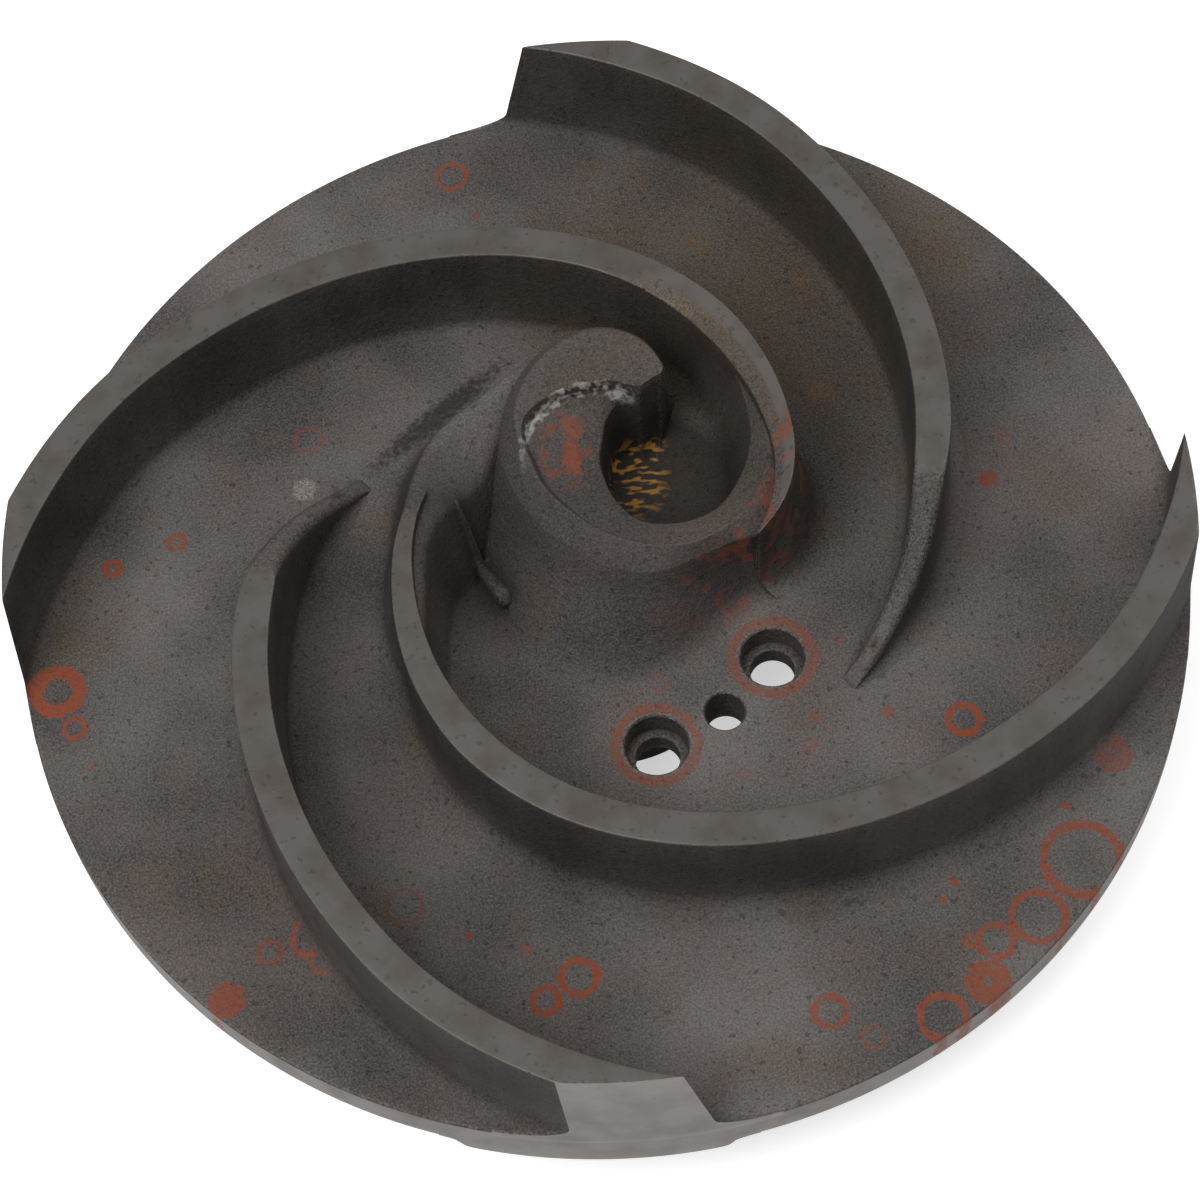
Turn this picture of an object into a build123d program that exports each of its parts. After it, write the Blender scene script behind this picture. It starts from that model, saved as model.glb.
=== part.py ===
"""Semi-open centrifugal pump impeller, one iron casting.

The frame: +Z is the rotation axis and points to the suction side, where the vanes stand. The
origin is on the axis, in the machined end face of the rear hub, on which the casting stands.
All sizes are in millimetres and all angles in degrees.
"""
from build123d import *
import math
import os

# ---- driving sizes -------------------------------------------------------------------------
# the disc, and the hub and shaft bore behind it; the seam is where their turned faces close
disc_radius = 175.0
disc_rim_thickness = 12.6
disc_hub_thickness = 15.6
rear_hub_radius = 39.0
rear_hub_length = 34.0
rear_hub_chamfer = 6.0
shaft_bore_radius = 19.0
shaft_bore_depth = 38.0
keyway_width = 10.0
keyway_depth = 3.3
seam_angle = 50.0

# the four spiral vanes: pitch is the fall of radius for each unit of travel round the axis
vane_count = 4
vane_height = 39.9
vane_face_slope = 1.4
vane_thickness = 10.3
vane_draft = 1.2
vane_tip_setback = 1.7
vane_tip_angle = 2.44
outlet_pitch = 0.257
vane_pitch = 0.4174
inner_pitch = 0.145
outlet_ease_sweep = 12.0
inner_ease_sweep = 112.0
arc_sweep = 24.0
root_round = 6.5
root_facets = 3

# two long vanes wind in to the nose, and two short ones end in a raked leading edge
long_vane_sweep = 195.0
long_vane_taper_sweep = 122.0
long_vane_end_thickness = 3.4
short_vane_sweep = 112.0
short_vane_taper_sweep = 80.0
short_vane_end_thickness = 5.0
short_vane_face_sweep = 83.0

# the low vanes on the back of the disc
back_vane_height = 4.6
back_vane_thickness = 24.0
back_vane_lead = 11.0
back_vane_sweep = 100.0

# two counterbored bolt holes with a plain hole between them
bolt_circle_radius = 57.0
bolt_hole_angle = -56.0
bolt_hole_spread = 23.0
bolt_hole_radius = 6.75
bolt_counterbore_radius = 9.5
bolt_counterbore_depth = 8.8
plain_hole_radius = 6.0

# the nose: a cone, a drum beside it that is hollowed by a well, and a ridge to the vane's end
cone_radius = 34.0
cone_height = 34.0
nose_centre_x = 15.0
nose_centre_y = 28.0
nose_radius = 42.0
nose_height = 31.5
nose_tilt = 4.5
nose_bevel_width = 6.5
nose_bevel_height = 5.0
head_centre_x = 7.0
head_centre_y = 50.5
head_radius = 18.4
well_centre_x = 24.5
well_centre_y = 22.0
well_radius = 22.0
mouth_width = 48.0
mouth_length = 60.0
mouth_angle = 55.0
ridge_radius = 56.0
ridge_width = 18.0
ridge_height = 30.0
ridge_start = 114.0
ridge_turn = 60.0
ridge_draft = 15.0
fracture_centre_x = -3.0
fracture_radius = 24.0
fracture_depth = 7.0

# ---- levels and places worked out from them -------------------------------------------------
overrun = 25.0
bite = 2.0
disc_back = rear_hub_length
plate = disc_back + disc_rim_thickness
vane_top = plate + vane_height
back_vane_edge = disc_back - back_vane_height
seam_plane = Plane.XZ.rotated((0, 0, seam_angle))
nose_plane = Plane((nose_centre_x, nose_centre_y, plate)).rotated((nose_tilt, 0, 0))
fracture_height = plate + nose_height - fracture_depth + fracture_radius


def circle_point(radius, angle):
    """The point on a circle round the axis at an angle in degrees."""
    return (radius * math.cos(math.radians(angle)), radius * math.sin(math.radians(angle)))


def spiral_point(sweep, offset=0.0):
    """A point of the vane's concave edge, swept clockwise in from the tip; offset moves it out."""
    ease_in = math.radians(outlet_ease_sweep)
    ease_out = math.radians(inner_ease_sweep)
    end = math.radians(long_vane_sweep)
    turn = math.radians(sweep)
    start = -math.radians(vane_tip_angle)
    fall = 0.0
    pitch = vane_pitch
    if turn < ease_in:
        rate = (vane_pitch - outlet_pitch) / (ease_in - start)
        pitch = outlet_pitch + rate * (turn - start)
        fall = (outlet_pitch + pitch) / 2 * (turn - start)
    else:
        fall = (outlet_pitch + vane_pitch) / 2 * (ease_in - start)
        fall += vane_pitch * (min(turn, ease_out) - ease_in)
        if turn > ease_out:
            rate = (vane_pitch - inner_pitch) / (end - ease_out)
            pitch = vane_pitch - rate * (turn - ease_out)
            fall += (vane_pitch + pitch) / 2 * (turn - ease_out)
    radius = (disc_radius - vane_tip_setback) * math.exp(-fall)
    lean = math.atan(pitch)
    x = radius * math.cos(-turn) + offset * math.cos(-turn - lean)
    y = radius * math.sin(-turn) + offset * math.sin(-turn - lean)
    return (x, y)


def vane_edges(sweep, taper_sweep, end_thickness, spread=0.0, thickness=vane_thickness):
    """The two long edges of a vane, all moved out by spread: the ends and the middle of each arc."""
    first = -outlet_ease_sweep
    last = sweep + math.degrees(spread / math.hypot(*spiral_point(sweep)))
    steps = 2 * round((sweep - first) / arc_sweep)
    concave = []
    convex = []
    for step in range(steps + 1):
        turn = first + (last - first) * step / steps
        thinning = max(0.0, (turn - taper_sweep) / (last - taper_sweep))
        width = thickness + (end_thickness - thickness) * thinning
        concave.append(spiral_point(turn, -spread))
        convex.append(spiral_point(turn, width + spread))
    return concave, convex


def draw_vane(concave, convex):
    """A vane's outline of arcs end to end, for the BuildLine block that calls this."""
    for edge in (concave, convex):
        for start in range(0, len(edge) - 1, 2):
            ThreePointArc(*edge[start : start + 3])
    Line(concave[-1], convex[-1])
    Line(convex[0], concave[0])


def vane(sweep, taper_sweep, end_thickness):
    """One vane: a drafted wall on a rounded root, sunk a little into the plate and overrunning the rim."""
    draft = math.tan(math.radians(vane_draft))
    sections = [(-bite, root_round + vane_height * draft)]
    for step in range(root_facets + 1):
        angle = math.radians(90 * step / root_facets)
        rise = root_round * (1 - math.cos(angle))
        sections.append((rise, root_round * (1 - math.sin(angle)) + (vane_height - rise) * draft))
    sections.append((vane_height + bite, -bite * draft))
    with BuildPart() as wall:
        for rise, spread in sections:
            with BuildSketch(Plane.XY.offset(plate + rise)):
                with BuildLine():
                    draw_vane(*vane_edges(sweep, taper_sweep, end_thickness, spread))
                make_face()
        loft(ruled=True)
    return wall.part


long_vane = vane(long_vane_sweep, long_vane_taper_sweep, long_vane_end_thickness)
short_vane = vane(short_vane_sweep, short_vane_taper_sweep, short_vane_end_thickness)

# ---- short vane: the same spiral, with its inner end raked down to the plate -----------------
rake_x, rake_y = spiral_point(short_vane_face_sweep, vane_thickness / 2)
foot_x, foot_y = spiral_point(short_vane_sweep, short_vane_end_thickness / 2)
rake_run = math.hypot(foot_x - rake_x, foot_y - rake_y)
rake_plane = Plane(
    origin=(rake_x, rake_y, plate),
    x_dir=(foot_x - rake_x, foot_y - rake_y, 0),
    z_dir=(foot_y - rake_y, rake_x - foot_x, 0),
)
with BuildPart() as rake_cut:
    with BuildSketch(rake_plane):
        with BuildLine():
            Polyline(
                (0, vane_height),
                (rake_run, 0),
                (rake_run + overrun, 0),
                (rake_run + overrun, vane_height + overrun),
                (0, vane_height + overrun),
                close=True,
            )
        make_face()
    extrude(amount=overrun, both=True)

# ---- nose: a cone and a tilted drum with a bevelled lip, hollowed by a well with a mouth ------
with BuildPart() as nose:
    with BuildSketch(Plane.XZ):
        with BuildLine():
            Polyline((0, plate), (cone_radius, plate), (0, plate + cone_height), close=True)
        make_face()
    revolve(axis=Axis.Z)
    split(bisect_by=nose_plane.offset(nose_height), keep=Keep.BOTTOM)
    with BuildSketch(Plane(nose_plane.origin, x_dir=nose_plane.x_dir, z_dir=-nose_plane.y_dir)):
        with BuildLine():
            Polyline(
                (0, -bite),
                (nose_radius, -bite),
                (nose_radius, nose_height - nose_bevel_height),
                (nose_radius - nose_bevel_width, nose_height),
                (0, nose_height),
                close=True,
            )
        make_face()
    revolve(axis=Axis(nose_plane.origin, nose_plane.z_dir))
    with BuildSketch(Plane.XY.offset(plate)):
        with BuildLine(mode=Mode.PRIVATE):
            ridge_line = CenterArc((0, 0), ridge_radius, ridge_start, ridge_turn)
        SlotArc(ridge_line, ridge_width)
    extrude(amount=ridge_height, taper=ridge_draft)
    with BuildSketch(Plane.XY.offset(plate)):
        with Locations((well_centre_x, well_centre_y)):
            Rectangle(
                mouth_length,
                mouth_width,
                align=(Align.MIN, Align.MIN),
                rotation=mouth_angle,
            )
        with Locations((head_centre_x, head_centre_y)):
            Circle(head_radius, mode=Mode.SUBTRACT)
        with Locations((well_centre_x, well_centre_y)):
            Circle(well_radius)
    extrude(amount=nose_height + overrun, mode=Mode.SUBTRACT)
    with Locations((fracture_centre_x, nose_centre_y, fracture_height)):
        Sphere(fracture_radius, mode=Mode.SUBTRACT)

# ---- the casting -----------------------------------------------------------------------------
with BuildPart() as impeller:
    with BuildSketch(seam_plane) as disc_section:
        with BuildLine():
            Polyline(
                (0, plate),
                (disc_radius + overrun, plate),
                (disc_radius + overrun, disc_back),
                (disc_radius, disc_back),
                (rear_hub_radius, plate - disc_hub_thickness),
                (rear_hub_radius, 0),
                (0, 0),
                close=True,
            )
        make_face()
        corner = Vector(rear_hub_radius, plate - disc_hub_thickness)
        chamfer(disc_section.vertices().sort_by_distance(corner)[0], length=rear_hub_chamfer)
    revolve(axis=Axis.Z)
    with PolarLocations(0, vane_count // 2):
        add(long_vane)
    with PolarLocations(0, vane_count // 2, start_angle=90):
        add(short_vane)
    with PolarLocations(0, vane_count // 2, start_angle=90):
        add(rake_cut.part, mode=Mode.SUBTRACT)
    add(nose.part)
    for turn in range(vane_count):
        with BuildSketch(Plane.XY.offset(back_vane_edge).rotated((0, 0, back_vane_lead + turn * 360 / vane_count))):
            with BuildLine():
                draw_vane(
                    *vane_edges(back_vane_sweep, 0, back_vane_thickness, 0, back_vane_thickness)
                )
            make_face()
        extrude(amount=back_vane_height + bite)
    with BuildSketch(seam_plane):
        with BuildLine():
            Polyline(
                (disc_radius, 0),
                (disc_radius, plate),
                (disc_radius - vane_tip_setback, vane_top),
                (0, vane_top - disc_radius * math.tan(math.radians(vane_face_slope))),
                (0, vane_top + overrun),
                (disc_radius + 2 * overrun, vane_top + overrun),
                (disc_radius + 2 * overrun, 0),
                close=True,
            )
        make_face()
    revolve(axis=Axis.Z, mode=Mode.SUBTRACT)
    with Locations((*circle_point(bolt_circle_radius, bolt_hole_angle), plate)):
        Hole(plain_hole_radius, plate)
    with BuildSketch(Plane.XY):
        Circle(shaft_bore_radius)
        Rectangle(
            shaft_bore_radius + keyway_depth,
            keyway_width,
            align=(Align.MIN, Align.CENTER),
            rotation=90,
        )
    extrude(amount=shaft_bore_depth, mode=Mode.SUBTRACT)
    for side in (-1, 1):
        angle = bolt_hole_angle + side * bolt_hole_spread
        with Locations((*circle_point(bolt_circle_radius, angle), plate)):
            CounterBoreHole(bolt_hole_radius, bolt_counterbore_radius, bolt_counterbore_depth, plate)
impeller.part.label = "impeller"
os.makedirs("parts", exist_ok=True)
export_step(impeller.part, "parts/impeller.step")
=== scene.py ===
"""The pump impeller's finished look: one iron casting, its rust and wear, and the stage.

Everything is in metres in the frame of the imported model. The rotation axis is +Z, and the end
face of the rear hub is at Z = 0. Sizes that a user would change stand in property groups, in the
panel "Impeller" of the 3D view's sidebar, and each piece has an operator of its own there.
"""

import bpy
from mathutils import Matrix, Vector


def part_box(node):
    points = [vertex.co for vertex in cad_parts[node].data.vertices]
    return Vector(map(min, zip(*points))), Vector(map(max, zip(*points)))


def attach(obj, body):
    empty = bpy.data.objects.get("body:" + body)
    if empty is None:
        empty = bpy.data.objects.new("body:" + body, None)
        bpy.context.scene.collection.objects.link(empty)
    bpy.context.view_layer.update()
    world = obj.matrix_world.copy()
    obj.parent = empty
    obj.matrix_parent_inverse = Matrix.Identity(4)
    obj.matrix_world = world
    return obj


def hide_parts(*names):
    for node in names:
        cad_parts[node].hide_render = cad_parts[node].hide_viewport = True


bl_info = {
    "name": "Pump Impeller",
    "version": (1, 0, 0),
    "blender": (4, 5, 0),
    "location": "3D View > Sidebar > Impeller",
    "description": "Builds a worn cast iron pump impeller and its stage",
    "category": "Object",
}

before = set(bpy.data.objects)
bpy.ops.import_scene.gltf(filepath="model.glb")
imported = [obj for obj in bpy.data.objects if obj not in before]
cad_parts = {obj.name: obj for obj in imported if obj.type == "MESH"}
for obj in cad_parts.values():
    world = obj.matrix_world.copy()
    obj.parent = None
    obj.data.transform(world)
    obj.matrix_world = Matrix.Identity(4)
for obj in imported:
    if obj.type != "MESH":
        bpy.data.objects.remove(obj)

import math

import bmesh
import bpy
import numpy as np
from bpy.props import FloatProperty, FloatVectorProperty, IntProperty, PointerProperty
from mathutils import Matrix, Vector

MM = 0.001
NODE = "impeller"
BODY = "root"

_, cad_high = (Vector(corner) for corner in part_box(NODE))
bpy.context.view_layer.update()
DISC_RADIUS = cad_high.x
FRONT = cad_high.z


# ---- properties ---------------------------------------------------------------------------------
def length(name, description, millimetres):
    """A length property, written here in millimetres and kept in metres."""
    return FloatProperty(name=name, description=description, default=millimetres * MM,
                         unit="LENGTH", subtype="DISTANCE", precision=4)


def turn(name, description, degrees):
    """An angle property, written here in degrees and kept in radians."""
    return FloatProperty(name=name, description=description, default=math.radians(degrees),
                         unit="ROTATION", subtype="ANGLE")


def colour(name, description, *rgb):
    """A colour property in linear red, green and blue."""
    return FloatVectorProperty(name=name, description=description, default=rgb, size=3,
                               subtype="COLOR", min=0.0, max=1.0)


class DiscSizes(bpy.types.PropertyGroup):
    """Sizes of the turned disc and of the hub behind it."""
    plate: length("Plate height", "height of the disc's front above the rear hub's end", 46.6)
    rim_thickness: length("Rim thickness", "thickness of the disc at its rim", 12.6)
    hub_thickness: length("Hub thickness", "thickness of the disc beside the rear hub", 15.6)
    rim_round: length("Rim rounding", "radius of the worn corners of the rim", 0.9)
    hub_radius: length("Hub radius", "radius of the rear hub", 39.0)
    hub_fillet: length("Hub fillet", "radius between the rear hub and the disc", 8.0)
    bore_radius: length("Bore radius", "radius of the shaft bore", 19.0)
    bore_depth: length("Bore depth", "depth of the shaft bore", 38.0)
    bore_chamfer: length("Bore chamfer", "chamfer at the mouth of the shaft bore", 1.2)
    key_width: length("Keyway width", "width of the keyway", 10.0)
    key_depth: length("Keyway depth", "depth of the keyway beyond the bore", 3.3)


class VaneSizes(bpy.types.PropertyGroup):
    """Sizes of the four spiral vanes."""
    height: length("Height", "height of the vanes at the rim, above the plate", 39.9)
    face_slope: turn("Face slope", "dish of the machined front face", 1.4)
    thickness: length("Thickness", "thickness of a vane at its machined top", 10.4)
    draft: turn("Draft", "lean of the vane's walls", 1.2)
    tip_angle: turn("Tip angle", "azimuth at which the first long vane's spiral starts", 0.0)
    tip_setback: length("Tip setback", "how far the tips lean in at their top", 1.7)
    concave_root: length("Concave root", "root radius on the hollow side", 8.5)
    convex_root: length("Convex root", "root radius on the outer side", 5.0)
    edge_round: length("Edge rounding", "radius of the edges of the machined top", 0.45)
    long_sweep: turn("Long sweep", "angle round the axis up to the ridge", 200.0)
    ridge_fall: length("Fall to the ridge", "how far the first long vane's end falls", 2.5)
    nose_sweep: turn("Nose sweep", "angle round the axis up to the nose", 189.5)
    nose_fall: length("Fall to the nose", "how far the second long vane's end falls", 3.0)
    nose_curl: FloatProperty(name="Curl", default=0.047,
                             description="how far the end curls inward, in disc radii")
    long_end: length("Long vane end", "thickness of a long vane at its inner end", 3.4)
    short_sweep: turn("Short sweep", "angle round the axis that a short vane covers", 121.0)
    short_end: length("Short vane end", "thickness of a short vane's crest at its foot", 5.0)
    short_face: turn("Short vane face", "sweep at which a short vane's flat top ends", 87.0)
    crest_lean: turn("Crest lean", "outward fall of the unmachined crest of the nose vane", 20.0)


class BackVaneSizes(bpy.types.PropertyGroup):
    """Sizes of the low vanes on the back of the disc."""
    height: length("Height", "height of the back vanes below the disc", 4.6)
    thickness: length("Thickness", "width of a back vane", 22.0)
    sweep: turn("Sweep", "angle round the axis that a back vane covers", 100.0)
    lead: turn("Lead", "angle from a front vane to the back vane behind it", -5.0)
    draft: turn("Draft", "lean of a back vane's sides", 12.0)
    root: length("Root", "root radius of a back vane", 2.0)
    edge_round: length("Edge rounding", "radius of a back vane's edges", 1.2)


class HoleSizes(bpy.types.PropertyGroup):
    """Sizes of the screw holes and of the relief hole between them."""
    circle_radius: length("Circle radius", "distance of the holes from the axis", 57.0)
    middle_angle: turn("Middle angle", "azimuth of the relief hole", -56.0)
    spread: turn("Spread", "angle from the relief hole to each screw hole", 23.0)
    screw_radius: length("Screw hole radius", "radius of the screw holes", 6.75)
    counterbore_radius: length("Counterbore radius", "radius of the counterbores", 9.5)
    counterbore_depth: length("Counterbore depth", "depth of the counterbores", 8.8)
    relief_radius: length("Relief hole radius", "radius of the relief hole", 6.0)


class StageSettings(bpy.types.PropertyGroup):
    """The floor, the lamps and the camera."""
    floor_size: length("Floor size", "side of the square floor", 6000.0)
    floor_colour: colour("Floor colour", "colour of the floor", 0.8, 0.8, 0.8)
    floor_glow: FloatProperty(name="Floor glow", default=0.55,
                              description="how white the camera sees the floor by itself")
    elevation: turn("Camera elevation", "height of the camera above the plate's plane", 61.33)
    roll: turn("Camera roll", "turn of the camera about its line of sight", -5.90)
    distance: length("Camera distance", "distance from the camera to the disc's centre", 978.8)
    view_angle: turn("View angle", "angle of view across the frame", 20.9)
    aim: FloatVectorProperty(name="Aim", size=2, default=(0.00412, 0.0305), precision=4,
                             description="what the frame's centre looks at, in disc radii")
    lamp_power: FloatProperty(name="Lamp power", description="power of the main lamp",
                              default=16.0, unit="POWER")


# ---- formulas in node trees ---------------------------------------------------------------------
class Field:
    """A value worked out inside a node tree, so that a formula reads as one."""

    def __init__(self, tree, term):
        self.tree = tree
        self.term = term

    def feed(self, socket):
        """Gives this value to a node's input."""
        if isinstance(self.term, bpy.types.NodeSocket):
            self.tree.links.new(self.term, socket)
        else:
            socket.default_value = self.term

    def math(self, operation, *others):
        """This number and others through one Math node."""
        terms = dict(enumerate((self, *others)))
        return wired(self.tree, "ShaderNodeMath", terms, operation=operation)

    def __add__(self, other):
        return self.math("ADD", other)

    def __sub__(self, other):
        return self.math("SUBTRACT", other)

    def __mul__(self, other):
        return self.math("MULTIPLY", other)

    def __truediv__(self, other):
        return self.math("DIVIDE", other)

    def __rsub__(self, other):
        return Field(self.tree, other).math("SUBTRACT", self)

    __radd__ = __add__
    __rmul__ = __mul__

    def span(self, start, end):
        """0 up to start, 1 from end on, and a straight rise between."""
        terms = {"Value": self, "From Min": start, "From Max": end}
        return wired(self.tree, "ShaderNodeMapRange", terms)

    def law(self, points):
        """A smooth curve through points, each from 0 to 1 both ways."""
        node = self.tree.nodes.new("ShaderNodeFloatCurve")
        curve = node.mapping.curves[0]
        for place, (x, y) in enumerate(points):
            if place < 2:
                curve.points[place].location = (x, y)
            else:
                curve.points.new(x, y)
        node.mapping.update()
        self.feed(node.inputs["Value"])
        return Field(self.tree, node.outputs[0])


def wired(tree, kind, terms=None, output=0, **settings):
    """An output of a new node, whose settings are made and whose inputs are given their terms."""
    node = tree.nodes.new(kind)
    for name, value in settings.items():
        setattr(node, name, value)
    for name, term in (terms or {}).items():
        field = term if isinstance(term, Field) else Field(tree, term)
        field.feed(node.inputs[name])
    return Field(tree, node.outputs[output])


# A vane's middle line falls from the rim to the nose: the sweep in degrees from the rim and the
# radius there, as a share of the disc's. The line starts beyond the rim, and is trimmed there.
SPIRAL = ((-24, 1.122), (-10, 1.058), (0, 1.008), (10, 0.952), (20, 0.895), (40, 0.771),
          (60, 0.667), (80, 0.586), (100, 0.517), (120, 0.452), (140, 0.3935), (160, 0.349),
          (180, 0.3225), (204, 0.3033), (216, 0.299))
SPIRAL_START = SPIRAL[0][0]
SPIRAL_SPAN = SPIRAL[-1][0] - SPIRAL_START
SPIRAL_REACH = 1.2
OVERRUN = math.radians(14)

# where along a vane its sizes change, and how far a change takes
LONG_TAPER_START, SHORT_TAPER_START = math.radians(122), math.radians(78)
LEAN_START, LEAN_SWEEP = math.radians(96), math.radians(40)
CURL_START, CURL_END = math.radians(155), math.radians(190)
END_SWEEP = math.radians(20)
BLUNT_BEFORE, BLUNT_AFTER = math.radians(4), math.radians(9)
FLARE_SWEEP, FLARE_AT_RIM = math.radians(35), 0.72
PROBE = math.radians(2)
NEVER = 9.0

# how deep a section's skirt hangs under the plate, and how far its foot lies under the plate
SKIRT = 3.0 * MM
BURIED = 0.12 * MM

# points along half a section, from the middle of the top to the middle of the buried bottom
TOP, EDGE, WALL, ROOT, UNDER, BOTTOM = 3, 6, 12, 18, 19, 20
SECTION_POINTS = 2 * BOTTOM + 1

# the vane tree's inputs, with the values of a vane that has no rake, lean, curl, point or fall
VANE_COUNTS = {"Copies": 1, "Stations": 110}
VANE_SIZES = {
    "Plate": 0.0, "Disc radius": 1.0, "First angle": 0.0, "Sweep": 1.0, "Height": 0.0,
    "Face slope": 0.0, "Thickness": 0.0, "Taper start": NEVER, "End thickness": 0.0, "Draft": 0.0,
    "Concave root": 0.0, "Convex root": 0.0, "Edge round": 0.0, "Rake start": NEVER,
    "Rake end": NEVER + 1, "Lean start": NEVER, "Lean": 0.0, "Curl": 0.0, "Point": 0.0,
    "End fall": 0.0, "Side": 1.0,
}


def vane_tree():
    """Vanes that wind in along the spiral, each a closed solid whose foot is under the plate."""
    tree = bpy.data.node_groups.new("spiral vanes", "GeometryNodeTree")
    for kind, group in (("NodeSocketInt", VANE_COUNTS), ("NodeSocketFloat", VANE_SIZES)):
        for name in group:
            tree.interface.new_socket(name=name, in_out="INPUT", socket_type=kind)
    tree.interface.new_socket(name="Finish", in_out="INPUT", socket_type="NodeSocketMaterial")
    tree.interface.new_socket(name="Geometry", in_out="OUTPUT", socket_type="NodeSocketGeometry")
    inputs = tree.nodes.new("NodeGroupInput")
    size = {name: Field(tree, inputs.outputs[name]) for name in (*VANE_COUNTS, *VANE_SIZES)}

    # a grid of stations along the vane and points round its section
    grid = wired(tree, "GeometryNodeMeshGrid",
                 {"Vertices X": size["Stations"] + 2, "Vertices Y": SECTION_POINTS})
    index = wired(tree, "GeometryNodeInputIndex")
    row = (index / SECTION_POINTS + 0.0001).math("FLOOR")
    place = index - row * SECTION_POINTS - BOTTOM
    side = place.math("SIGN")
    step = place.math("ABSOLUTE")
    along = (row - 1).span(0, size["Stations"] - 1)
    capped = 1 - row.span(0, 1) + row.span(size["Stations"], size["Stations"] + 1)

    # the middle line, its direction and the sizes at this station
    sweep = along * (size["Sweep"] + OVERRUN) - OVERRUN

    def line(at):
        share = (at * math.degrees(1) - SPIRAL_START) / SPIRAL_SPAN
        law = [((s - SPIRAL_START) / SPIRAL_SPAN, r / SPIRAL_REACH) for s, r in SPIRAL]
        curled = at.span(CURL_START, CURL_END)
        radius = share.law(law) * SPIRAL_REACH - size["Curl"] * curled * curled
        radius = radius * size["Disc radius"]
        azimuth = size["First angle"] - at
        return radius, radius * azimuth.math("COSINE"), radius * azimuth.math("SINE")

    radius, x, y = line(sweep)
    _, x_next, y_next = line(sweep + PROBE)
    _, x_last, y_last = line(sweep - PROBE)
    way_x = x_next - x_last
    way_y = y_next - y_last
    way = (way_x * way_x + way_y * way_y).math("SQRT")
    out_x = 0 - way_y / way
    out_y = way_x / way
    raked = 1 - sweep.span(size["Rake start"], size["Rake end"])
    ending = sweep.span(size["Sweep"] - END_SWEEP, size["Sweep"])
    ending = ending * ending
    pointed = 1 - size["Point"] * ending
    dish = size["Face slope"].math("TANGENT")
    height = (size["Height"] - dish * (size["Disc radius"] - radius)) * raked
    height = height - size["End fall"] * ending
    taper = sweep.span(size["Taper start"], size["Sweep"])
    half = (size["Thickness"] * (1 - taper) + size["End thickness"] * taper) * pointed * 0.5
    blunt = sweep.span(size["Rake start"] - BLUNT_BEFORE, size["Rake start"] + BLUNT_AFTER)
    edge = (size["Edge round"] + blunt * (half * 0.85)).math("MINIMUM", height * 0.45)
    is_outer = side.span(-1, 1)
    flare = sweep.span(0, FLARE_SWEEP) * (1 - FLARE_AT_RIM) + FLARE_AT_RIM
    root = size["Concave root"] * flare * (1 - is_outer) + size["Convex root"] * is_outer
    root = root.math("MINIMUM", height * 0.5)

    # the section: top, rounded edge, drafted wall, root flare and the part under the plate
    round_turn = step.span(TOP, EDGE) * (math.pi / 2)
    root_turn = step.span(WALL, ROOT) * (math.pi / 2)
    down_wall = step.span(EDGE, WALL)
    wall_fall = height - edge - root
    lean_out = size["Draft"].math("TANGENT") * wall_fall
    across = (step.span(0, TOP) * (half - edge) + edge * round_turn.math("SINE")
              + down_wall * lean_out + root * (1 - root_turn.math("COSINE")))
    across = across * (1 - step.span(UNDER, BOTTOM)) * side
    level = (height - edge * (1 - round_turn.math("COSINE")) - down_wall * wall_fall
             - root * root_turn.math("SINE") - step.span(ROOT, UNDER) * SKIRT)
    leaning = sweep.span(size["Lean start"], size["Lean start"] + LEAN_SWEEP)
    fall = leaning * size["Lean"].math("TANGENT") * (1 - down_wall) * (across + half * 0.4)
    level = level - BURIED - fall
    keep = 1 - capped
    across = (across - (size["Thickness"] * 0.5 - half) * blunt) * keep
    level = (level * keep - capped * SKIRT * 0.5) * size["Side"]

    place_x = x - out_x * across
    place_y = y - out_y * across
    dished = dish * ((place_x * place_x + place_y * place_y).math("SQRT") - radius)
    level = level + dished * (1 - step.span(EDGE, WALL)) * raked * keep + size["Plate"]
    position = wired(tree, "ShaderNodeCombineXYZ", {"X": place_x, "Y": place_y, "Z": level})
    shaped = wired(tree, "GeometryNodeSetPosition", {"Geometry": grid, "Position": position})
    sewn = wired(tree, "GeometryNodeMergeByDistance",
                 {"Geometry": shaped, "Distance": 0.002 * MM})

    # equal copies round the axis
    spots = wired(tree, "GeometryNodeMeshLine", {"Count": size["Copies"], "Offset": (0, 0, 0)})
    spot = wired(tree, "GeometryNodeInputIndex")
    facing = wired(tree, "ShaderNodeCombineXYZ", {"Z": spot * (2 * math.pi) / size["Copies"]})
    copies = wired(tree, "GeometryNodeInstanceOnPoints",
                   {"Points": spots, "Instance": sewn, "Rotation": facing})
    real = wired(tree, "GeometryNodeRealizeInstances", {"Geometry": copies})
    finished = wired(tree, "GeometryNodeSetMaterial",
                     {"Geometry": real, "Material": inputs.outputs["Finish"]})
    finished.feed(tree.nodes.new("NodeGroupOutput").inputs[0])
    return tree


# ---- mesh helpers -------------------------------------------------------------------------------
def new_object(name, mesh):
    piece = bpy.data.objects.new(name, mesh)
    bpy.context.scene.collection.objects.link(piece)
    return piece


def settle(piece):
    """Turns what a piece's modifiers make into its plain mesh."""
    graph = bpy.context.evaluated_depsgraph_get()
    mesh = bpy.data.meshes.new_from_object(piece.evaluated_get(graph), depsgraph=graph)
    old = piece.data
    piece.modifiers.clear()
    piece.data = mesh
    bpy.data.meshes.remove(old)
    return piece


def face_outwards(piece):
    work = bmesh.new()
    work.from_mesh(piece.data)
    bmesh.ops.recalc_face_normals(work, faces=work.faces)
    work.to_mesh(piece.data)
    work.free()
    return piece


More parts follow.
